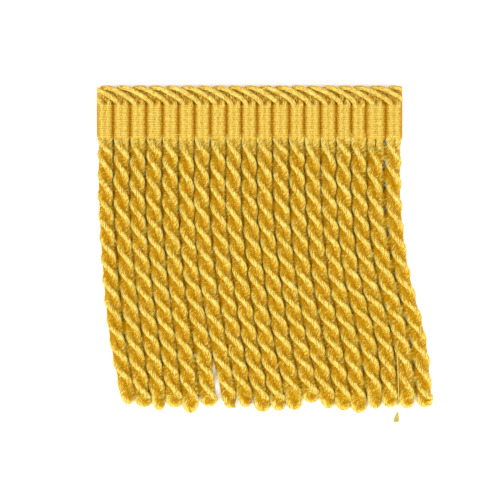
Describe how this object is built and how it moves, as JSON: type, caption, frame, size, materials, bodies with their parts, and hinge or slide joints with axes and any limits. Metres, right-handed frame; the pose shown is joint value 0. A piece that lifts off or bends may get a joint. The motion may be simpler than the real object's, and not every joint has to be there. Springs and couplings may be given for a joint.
{
  "type": "cord fringe trim",
  "caption": "Cut length of gold bullion fringe: a ribbed woven heading with a crossed loop edge above it and a skirt of two-ply twisted cords that end in loops, lying face up.",
  "frame": {"origin": "middle of the heading's flat back face, under its tenth rib from the left", "axes": "+X along the heading to the right, +Y towards the crossed loop edge, +Z out of the face; the trim lies on the plane z = 0"},
  "size_m": [0.156, 0.1529, 0.0069],
  "materials": {
    "woven_heading": "golden viscose rayon cords laid side by side and bound by fine warp threads, satin",
    "edge_yarn": "golden viscose rayon yarn, softly twisted, lustrous",
    "twisted_cord": "golden viscose rayon two-ply cord, S twist, lustrous filaments"
  },
  "bodies": {
    "root": {"heading_band": "woven_heading", "loop_edge": "edge_yarn", "cord_skirt": "twisted_cord"}
  },
  "joints": []
}
